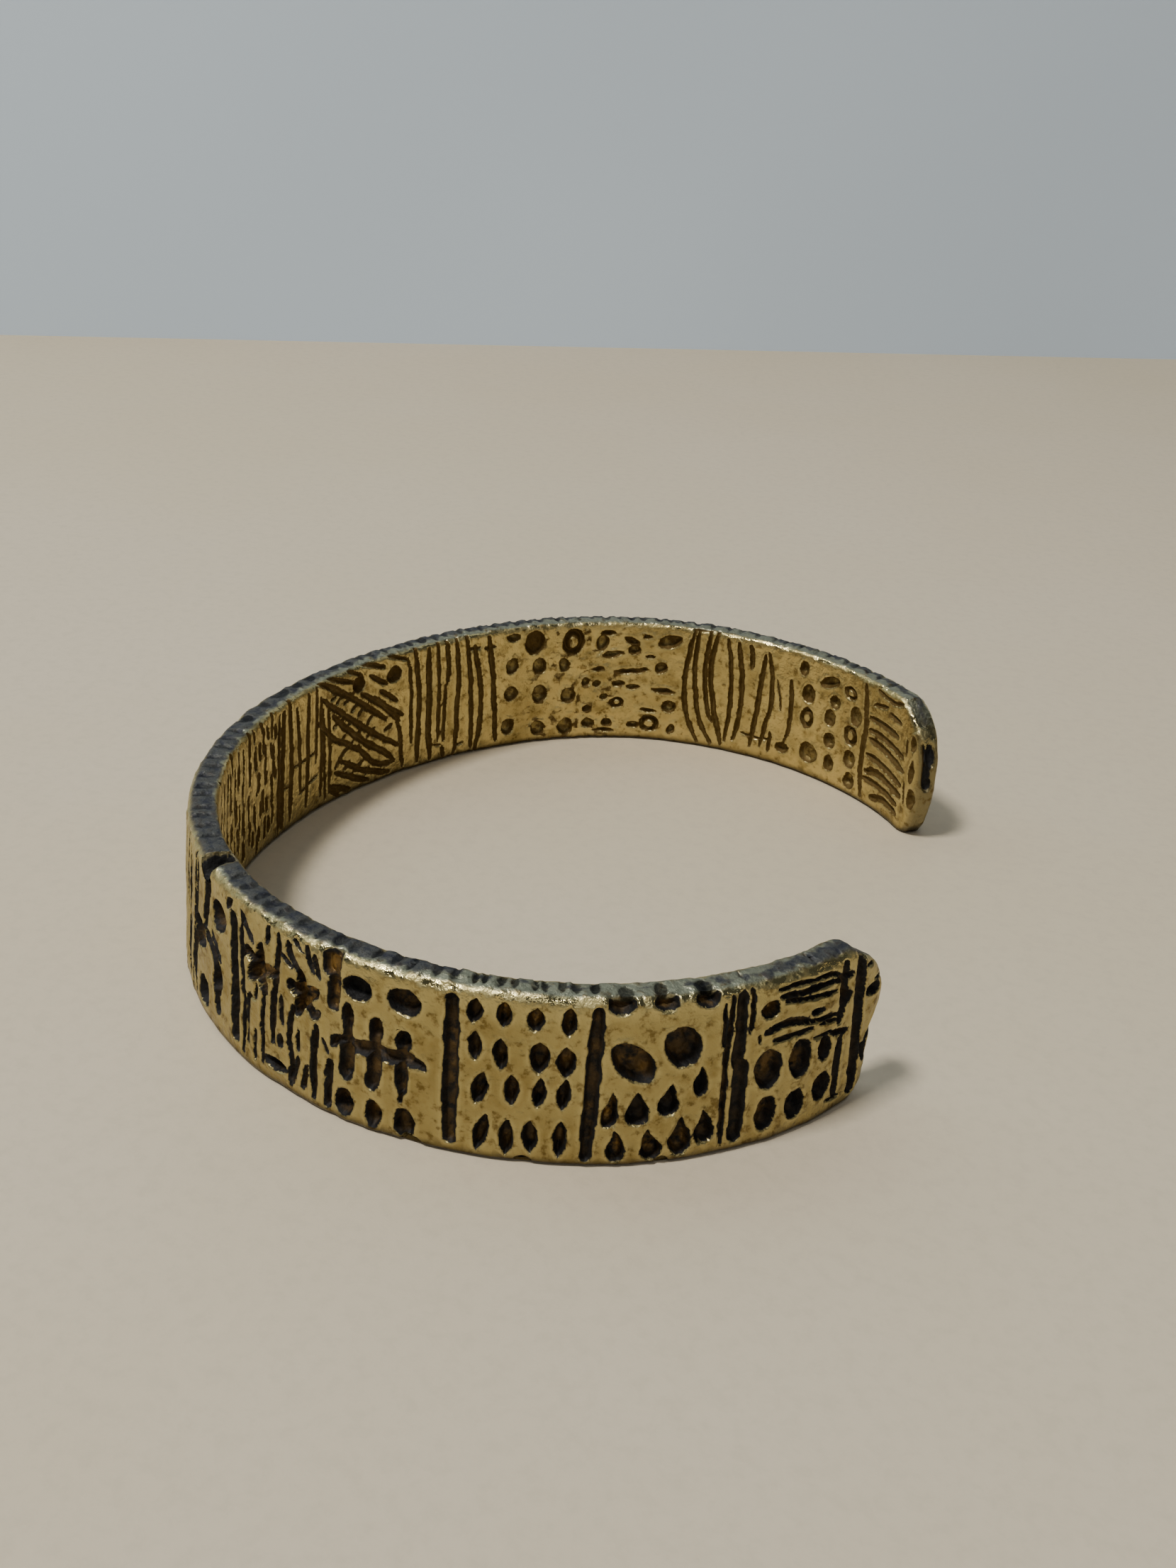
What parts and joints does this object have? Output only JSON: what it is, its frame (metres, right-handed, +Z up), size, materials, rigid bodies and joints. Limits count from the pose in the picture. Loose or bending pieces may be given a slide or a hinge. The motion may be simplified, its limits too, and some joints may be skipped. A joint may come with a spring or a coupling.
{
  "type": "cuff bracelet",
  "caption": "Rigid open cuff bracelet: a cast brass band bent into an oval with a side gap, covered in punched pits and chased strokes inside and out.",
  "frame": {"origin": "middle of the bounding box, on the surface that the cuff's lower edge stands on", "axes": "+Z up, along the way a wrist passes through the cuff; +X out through the middle of the gap between the two ends; +Y towards the far end"},
  "size_m": [0.0516, 0.0612, 0.0114],
  "materials": {
    "aged_brass": "satin antiqued brass with dark patina in the punched pits and strokes"
  },
  "bodies": {
    "root": {"cuff": "aged_brass"}
  },
  "joints": []
}
